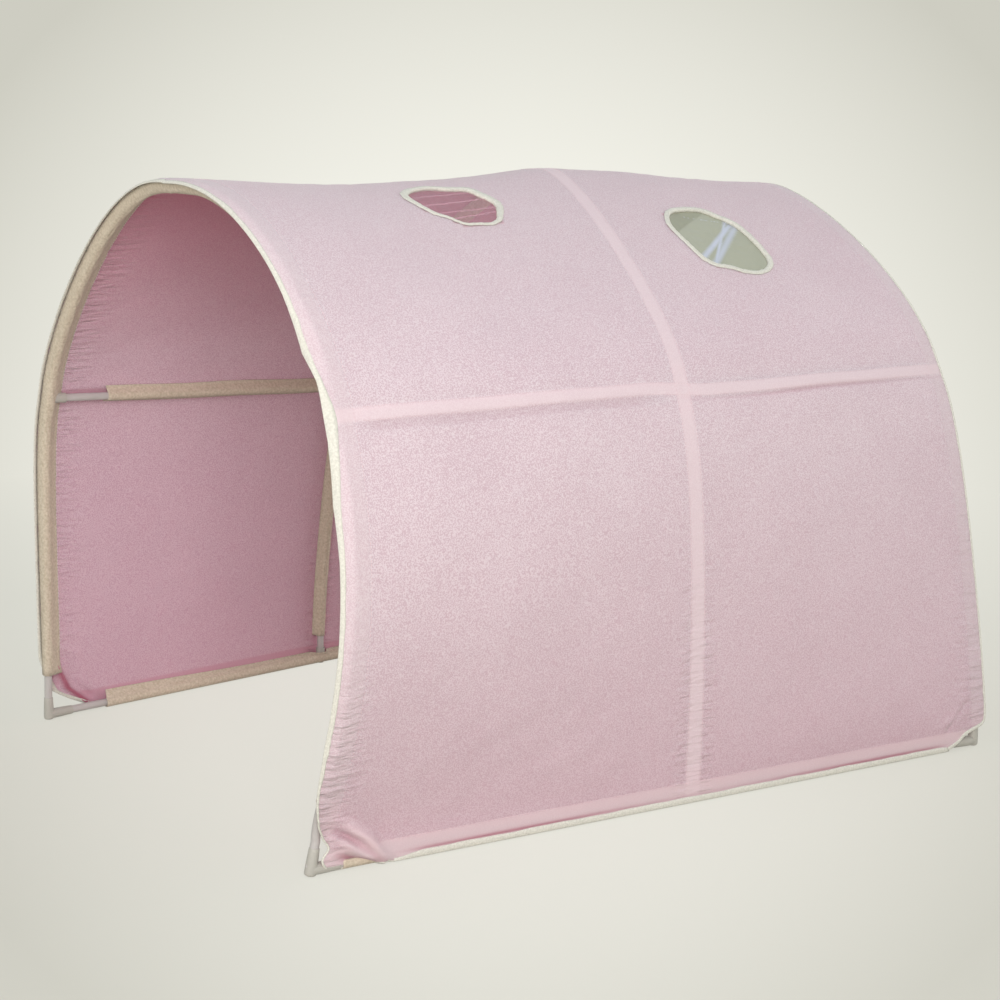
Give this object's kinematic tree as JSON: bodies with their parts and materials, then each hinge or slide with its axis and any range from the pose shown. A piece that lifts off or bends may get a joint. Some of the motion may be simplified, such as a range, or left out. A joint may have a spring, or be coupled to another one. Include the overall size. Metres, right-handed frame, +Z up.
{
  "type": "bed tunnel",
  "caption": "Arched tent tunnel for a child's bed: a plug-in tube frame of hoops and rails under a sewn cotton cover with round film windows.",
  "frame": {"origin": "on the floor, under the middle of the tunnel's bounding box", "axes": "+Z up, +Y along the tunnel from the narrower front opening to the rear one, +X to the right seen from the front, the side with the windows"},
  "size_m": [0.841, 0.9128, 0.7],
  "materials": {
    "tube": "satin white tube",
    "socket": "moulded white",
    "cover": "pink poly-cotton",
    "sleeve": "unbleached cotton",
    "tape": "white cotton bias tape",
    "film": "clear soft PVC"
  },
  "bodies": {
    "root": {"front_left_leg": "tube", "front_right_leg": "tube", "middle_left_leg": "tube", "middle_right_leg": "tube", "rear_left_leg": "tube", "rear_right_leg": "tube", "front_left_arch": "tube", "front_right_arch": "tube", "middle_left_arch": "tube", "middle_right_arch": "tube", "rear_left_arch": "tube", "rear_right_arch": "tube", "front_left_base_rail": "tube", "front_right_base_rail": "tube", "rear_left_base_rail": "tube", "rear_right_base_rail": "tube", "front_left_side_rail": "tube", "front_right_side_rail": "tube", "rear_left_side_rail": "tube", "rear_right_side_rail": "tube", "front_left_elbow": "socket", "front_right_elbow": "socket", "rear_left_elbow": "socket", "rear_right_elbow": "socket", "left_base_tee": "socket", "right_base_tee": "socket", "front_left_rail_tee": "socket", "front_right_rail_tee": "socket", "rear_left_rail_tee": "socket", "rear_right_rail_tee": "socket", "middle_left_rail_cross": "socket", "middle_right_rail_cross": "socket", "front_crown_ferrule": "socket", "middle_crown_ferrule": "socket", "rear_crown_ferrule": "socket", "cover": "cover", "front_hoop_sleeve": "sleeve", "rear_hoop_sleeve": "sleeve", "middle_hoop_sleeve_left": "sleeve", "middle_hoop_sleeve_top": "sleeve", "middle_hoop_sleeve_right": "sleeve", "left_base_sleeve": "sleeve", "right_base_sleeve": "sleeve", "front_left_rail_sleeve": "sleeve", "front_right_rail_sleeve": "sleeve", "rear_left_rail_sleeve": "sleeve", "rear_right_rail_sleeve": "sleeve", "front_edge_tape": "tape", "rear_edge_tape": "tape", "left_hem_tape": "tape", "right_hem_tape": "tape", "front_window_ring": "tape", "rear_window_ring": "tape", "front_window_film": "film", "rear_window_film": "film"}
  },
  "joints": []
}
